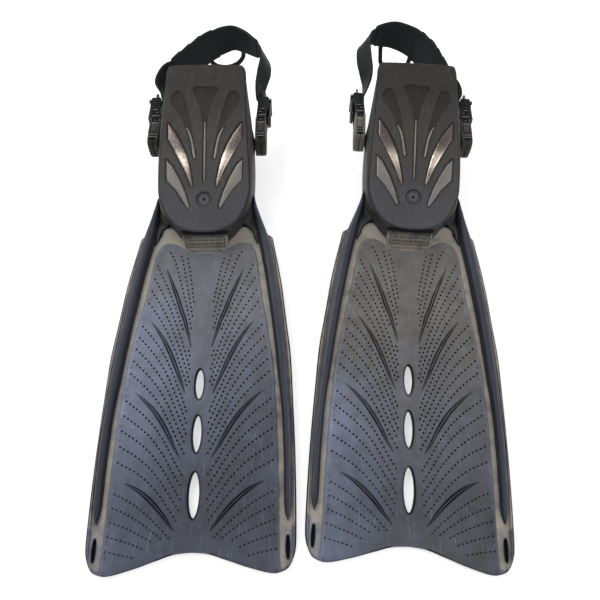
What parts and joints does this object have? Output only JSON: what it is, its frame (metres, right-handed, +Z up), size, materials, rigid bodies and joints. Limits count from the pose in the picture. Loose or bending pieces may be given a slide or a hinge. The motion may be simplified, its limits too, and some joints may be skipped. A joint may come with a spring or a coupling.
{
  "type": "swim fins",
  "caption": "Open-heel swim fins lying sole up, with vented ribbed blades, rubber foot pockets, and heel straps on quick-release buckles.",
  "frame": {"origin": "centre of the footprint of the pair on the floor they lie on", "axes": "+Y towards the heels, +Z up (the fins lie sole side up), +X across the pair from the left fin to the right fin"},
  "size_m": [0.479, 0.7676, 0.1173],
  "materials": {
    "blade": "satin moulded thermoplastic with a fine dimpled panel",
    "rail": "co-moulded soft rubber channel rail",
    "pocket": "soft moulded rubber",
    "sole": "fine matte sole rubber",
    "silver_inlay": "metallised plastic inlay, scuffed",
    "grey_inlay": "blue grey pearl plastic inlay",
    "strip_inlay": "light grey plastic inlay",
    "plug": "round moulding plug",
    "stud": "glass filled moulded post",
    "cap": "moulded cap screw",
    "buckle_base": "textured moulded plastic",
    "buckle_clip": "textured moulded plastic",
    "prong": "moulded squeeze button",
    "lever": "moulded lever",
    "steel": "stainless pin",
    "strap": "moulded rubber strap, ladder teeth on one face",
    "pad": "finely textured soft rubber pad"
  },
  "bodies": {
    "left_fin": {"left_blade": "blade", "left_side_rail_inner": "rail", "left_side_rail_outer": "rail", "left_foot_pocket": "pocket", "left_sole_plate": "sole", "left_upper_sole_inserts": "silver_inlay", "left_lower_sole_inserts": "grey_inlay", "left_sole_strips": "strip_inlay", "left_sole_plug": "plug", "left_strap_stud_inner": "stud", "left_strap_stud_outer": "stud", "left_stud_cap_inner": "cap", "left_stud_cap_outer": "cap"},
    "left_strap_unit": {"left_heel_strap": "strap", "left_heel_pad": "pad", "left_buckle_clip_outer": "buckle_clip", "left_buckle_clip_inner": "buckle_clip", "left_strap_roller_outer": "steel", "left_strap_roller_inner": "steel", "left_lever_pin_outer": "steel", "left_lever_pin_inner": "steel"},
    "left_buckle_outer": {"left_buckle_base_outer": "buckle_base"},
    "left_lever_outer": {"left_tension_lever_outer": "lever"},
    "left_prong_upper_outer": {"left_release_prong_upper_outer": "prong"},
    "left_prong_lower_outer": {"left_release_prong_lower_outer": "prong"},
    "left_buckle_inner": {"left_buckle_base_inner": "buckle_base"},
    "left_lever_inner": {"left_tension_lever_inner": "lever"},
    "left_prong_upper_inner": {"left_release_prong_upper_inner": "prong"},
    "left_prong_lower_inner": {"left_release_prong_lower_inner": "prong"},
    "right_fin": {"right_blade": "blade", "right_side_rail_inner": "rail", "right_side_rail_outer": "rail", "right_foot_pocket": "pocket", "right_sole_plate": "sole", "right_upper_sole_inserts": "silver_inlay", "right_lower_sole_inserts": "grey_inlay", "right_sole_strips": "strip_inlay", "right_sole_plug": "plug", "right_strap_stud_inner": "stud", "right_strap_stud_outer": "stud", "right_stud_cap_inner": "cap", "right_stud_cap_outer": "cap"},
    "right_strap_unit": {"right_heel_strap": "strap", "right_heel_pad": "pad", "right_buckle_clip_outer": "buckle_clip", "right_buckle_clip_inner": "buckle_clip", "right_strap_roller_outer": "steel", "right_strap_roller_inner": "steel", "right_lever_pin_outer": "steel", "right_lever_pin_inner": "steel"},
    "right_buckle_outer": {"right_buckle_base_outer": "buckle_base"},
    "right_lever_outer": {"right_tension_lever_outer": "lever"},
    "right_prong_upper_outer": {"right_release_prong_upper_outer": "prong"},
    "right_prong_lower_outer": {"right_release_prong_lower_outer": "prong"},
    "right_buckle_inner": {"right_buckle_base_inner": "buckle_base"},
    "right_lever_inner": {"right_tension_lever_inner": "lever"},
    "right_prong_upper_inner": {"right_release_prong_upper_inner": "prong"},
    "right_prong_lower_inner": {"right_release_prong_lower_inner": "prong"}
  },
  "joints": [
    {"name": "left_strap_swing", "type": "hinge", "parent": "left_fin", "child": "left_buckle_outer", "pos_m": [-0.21164, 0.15227, 0.06385], "axis": [0.999, 0.0453, 0], "range_deg": [-70, 90]},
    {"name": "left_strap_swing_inner", "type": "hinge", "parent": "left_fin", "child": "left_buckle_inner", "pos_m": [-0.07179, 0.1586, 0.06385], "axis": [0.999, 0.0453, 0], "range_deg": [-70, 90]},
    {"name": "left_buckle_release", "type": "slide", "parent": "left_buckle_outer", "child": "left_strap_unit", "axis": [-0.045, 0.9934, -0.105], "range_m": [0, 0.03], "deforming": ["left_release_prong_upper_outer", "left_release_prong_lower_outer", "left_release_prong_upper_inner", "left_release_prong_lower_inner"]},
    {"name": "left_lever_lift_outer", "type": "hinge", "parent": "left_strap_unit", "child": "left_lever_outer", "pos_m": [-0.23125, 0.22703, 0.05586], "axis": [0.0048, -0.1049, -0.9945], "range_deg": [0, 40]},
    {"name": "left_squeeze_upper_outer", "type": "hinge", "parent": "left_strap_unit", "child": "left_prong_upper_outer", "pos_m": [-0.2167, 0.18651, 0.07187], "axis": [0.999, 0.0453, 0], "range_deg": [0, 9.5]},
    {"name": "left_squeeze_lower_outer", "type": "hinge", "parent": "left_strap_unit", "child": "left_prong_lower_outer", "pos_m": [-0.21659, 0.18407, 0.0488], "axis": [-0.999, -0.0453, 0], "range_deg": [0, 9.5]},
    {"name": "left_lever_lift_inner", "type": "hinge", "parent": "left_strap_unit", "child": "left_lever_inner", "pos_m": [-0.05903, 0.23484, 0.05586], "axis": [-0.0048, 0.1049, 0.9945], "range_deg": [0, 40]},
    {"name": "left_squeeze_upper_inner", "type": "hinge", "parent": "left_strap_unit", "child": "left_prong_upper_inner", "pos_m": [-0.06985, 0.19316, 0.07187], "axis": [0.999, 0.0453, 0], "range_deg": [0, 9.5]},
    {"name": "left_squeeze_lower_inner", "type": "hinge", "parent": "left_strap_unit", "child": "left_prong_lower_inner", "pos_m": [-0.06974, 0.19073, 0.0488], "axis": [-0.999, -0.0453, 0], "range_deg": [0, 9.5]},
    {"name": "right_strap_swing", "type": "hinge", "parent": "right_fin", "child": "right_buckle_outer", "pos_m": [0.21164, 0.16427, 0.06385], "axis": [0.999, -0.0453, 0], "range_deg": [-70, 90]},
    {"name": "right_strap_swing_inner", "type": "hinge", "parent": "right_fin", "child": "right_buckle_inner", "pos_m": [0.07179, 0.1706, 0.06385], "axis": [0.999, -0.0453, 0], "range_deg": [-70, 90]},
    {"name": "right_buckle_release", "type": "slide", "parent": "right_buckle_outer", "child": "right_strap_unit", "axis": [0.045, 0.9934, -0.105], "range_m": [0, 0.03], "deforming": ["right_release_prong_upper_outer", "right_release_prong_lower_outer", "right_release_prong_upper_inner", "right_release_prong_lower_inner"]},
    {"name": "right_lever_lift_outer", "type": "hinge", "parent": "right_strap_unit", "child": "right_lever_outer", "pos_m": [0.23125, 0.23903, 0.05586], "axis": [0.0048, 0.1049, 0.9945], "range_deg": [0, 40]},
    {"name": "right_squeeze_upper_outer", "type": "hinge", "parent": "right_strap_unit", "child": "right_prong_upper_outer", "pos_m": [0.2167, 0.19851, 0.07187], "axis": [0.999, -0.0453, 0], "range_deg": [0, 9.5]},
    {"name": "right_squeeze_lower_outer", "type": "hinge", "parent": "right_strap_unit", "child": "right_prong_lower_outer", "pos_m": [0.21659, 0.19607, 0.0488], "axis": [-0.999, 0.0453, 0], "range_deg": [0, 9.5]},
    {"name": "right_lever_lift_inner", "type": "hinge", "parent": "right_strap_unit", "child": "right_lever_inner", "pos_m": [0.05903, 0.24684, 0.05586], "axis": [-0.0048, -0.1049, -0.9945], "range_deg": [0, 40]},
    {"name": "right_squeeze_upper_inner", "type": "hinge", "parent": "right_strap_unit", "child": "right_prong_upper_inner", "pos_m": [0.06985, 0.20516, 0.07187], "axis": [0.999, -0.0453, 0], "range_deg": [0, 9.5]},
    {"name": "right_squeeze_lower_inner", "type": "hinge", "parent": "right_strap_unit", "child": "right_prong_lower_inner", "pos_m": [0.06974, 0.20273, 0.0488], "axis": [-0.999, 0.0453, 0], "range_deg": [0, 9.5]},
    {"name": "fin_separation", "type": "slide", "parent": "left_fin", "child": "right_fin", "axis": [1, 0, 0], "range_m": [0, 0.25]}
  ],
  "couplings": [
    {"joint": "left_strap_swing_inner", "follows": "left_strap_swing", "ratio": 1},
    {"joint": "left_squeeze_lower_outer", "follows": "left_squeeze_upper_outer", "ratio": 1},
    {"joint": "left_squeeze_lower_inner", "follows": "left_squeeze_upper_inner", "ratio": 1},
    {"joint": "right_strap_swing_inner", "follows": "right_strap_swing", "ratio": 1},
    {"joint": "right_squeeze_lower_outer", "follows": "right_squeeze_upper_outer", "ratio": 1},
    {"joint": "right_squeeze_lower_inner", "follows": "right_squeeze_upper_inner", "ratio": 1}
  ]
}
